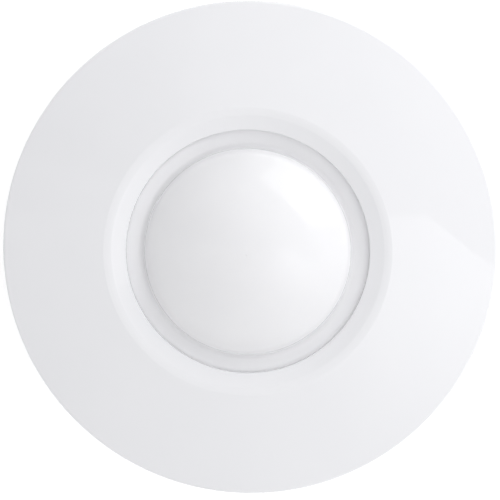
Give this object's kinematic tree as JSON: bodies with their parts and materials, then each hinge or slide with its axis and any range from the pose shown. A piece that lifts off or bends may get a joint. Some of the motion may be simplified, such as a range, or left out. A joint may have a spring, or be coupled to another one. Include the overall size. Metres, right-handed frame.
{
  "type": "ceiling motion sensor",
  "caption": "Round glossy white motion sensor with a domed infrared lens set in a recessed ring, on a screw-down base with a twist-off cover.",
  "frame": {"origin": "centre of the flat mounting face, which lies on the ceiling or wall", "axes": "+Z out of the mounting face through the lens, +Y towards the top of the face-on view, away from the cable entry, +X to the right"},
  "size_m": [0.1102, 0.1102, 0.0335],
  "materials": {
    "cover_plastic": "glossy white moulding",
    "lens_plastic": "milky white infrared-clear sheet",
    "base_plastic": "fine satin white moulding",
    "inner_plastic": "satin off-white moulding",
    "black_plastic": "satin black moulding",
    "solder_mask": "green solder mask over copper",
    "zinc_steel": "zinc-plated steel",
    "nickel_steel": "nickel-plated steel",
    "spring_steel": "drawn spring wire",
    "infrared_filter": "dark infrared filter",
    "dark_foam": "open-cell foam",
    "terminal_plastic": "green moulding",
    "tinned_brass": "tinned brass",
    "switch_plastic": "blue moulding",
    "slider_plastic": "white moulding",
    "red_lens": "red-tinted epoxy",
    "relay_plastic": "ivory moulding",
    "can_aluminium": "bare aluminium can",
    "varistor_coat": "blue dipped coating",
    "chip_epoxy": "black moulded epoxy",
    "tinned_lead": "matt tin",
    "ceramic_tan": "fired ceramic"
  },
  "bodies": {
    "base": {"mounting_base": "base_plastic", "circuit_board": "solder_mask", "board_screws": "zinc_steel", "sensor_holder": "inner_plastic", "sensor_header": "nickel_steel", "sensor_can": "nickel_steel", "sensor_window": "infrared_filter", "sensor_foam": "dark_foam", "optics_baffle": "inner_plastic", "terminal_housing": "terminal_plastic", "terminal_cages": "tinned_brass", "terminal_screws": "nickel_steel", "tamper_housing": "black_plastic", "tamper_spring": "spring_steel", "dip_housing": "switch_plastic", "trimmer_housing": "switch_plastic", "alarm_led": "red_lens", "alarm_relay": "relay_plastic", "capacitor_bases": "black_plastic", "capacitor_cans": "can_aluminium", "surge_varistor": "varistor_coat", "controller_chip": "chip_epoxy", "amplifier_chip": "chip_epoxy", "regulator_chip": "chip_epoxy", "component_leads": "tinned_lead", "chip_resistors": "chip_epoxy", "chip_capacitors": "ceramic_tan", "resistor_ends": "tinned_lead", "capacitor_ends": "tinned_lead"},
    "lens": {"lens": "lens_plastic"},
    "cover": {"front_cover": "cover_plastic", "lens_retainer": "inner_plastic", "retainer_screws": "zinc_steel"},
    "tamper_button": {"tamper_plunger": "inner_plastic"},
    "dip_slide_1": {"dip_slider_1": "slider_plastic"},
    "dip_slide_2": {"dip_slider_2": "slider_plastic"},
    "dip_slide_3": {"dip_slider_3": "slider_plastic"},
    "trimmer": {"trimmer_rotor": "slider_plastic"}
  },
  "joints": [
    {"name": "cover_lift", "type": "slide", "parent": "base", "child": "lens", "axis": [0, 0, 1], "range_m": [0, 0.04]},
    {"name": "cover_twist", "type": "hinge", "parent": "lens", "child": "cover", "pos_m": [0, 0, 0.02], "axis": [0, 0, 1], "range_deg": [0, 15]},
    {"name": "tamper_release", "type": "slide", "parent": "base", "child": "tamper_button", "axis": [0, 0, 1], "range_m": [0, 0.0016], "stiffness_N_per_m": 100, "springref_m": 0.004, "deforming": ["tamper_spring"]},
    {"name": "dip_switch_1", "type": "slide", "parent": "base", "child": "dip_slide_1", "axis": [0, 1, 0], "range_m": [0, 0.002]},
    {"name": "dip_switch_2", "type": "slide", "parent": "base", "child": "dip_slide_2", "axis": [0, 1, 0], "range_m": [0, 0.002]},
    {"name": "dip_switch_3", "type": "slide", "parent": "base", "child": "dip_slide_3", "axis": [0, 1, 0], "range_m": [0, 0.002]},
    {"name": "sensitivity_trim", "type": "hinge", "parent": "base", "child": "trimmer", "pos_m": [0.027, 0.025, 0.0135], "axis": [0, 0, 1], "range_deg": [-130, 130]}
  ],
  "couplings": [
    {"joint": "tamper_release", "follows": "cover_twist", "m_per_rad": 0.0061115}
  ]
}
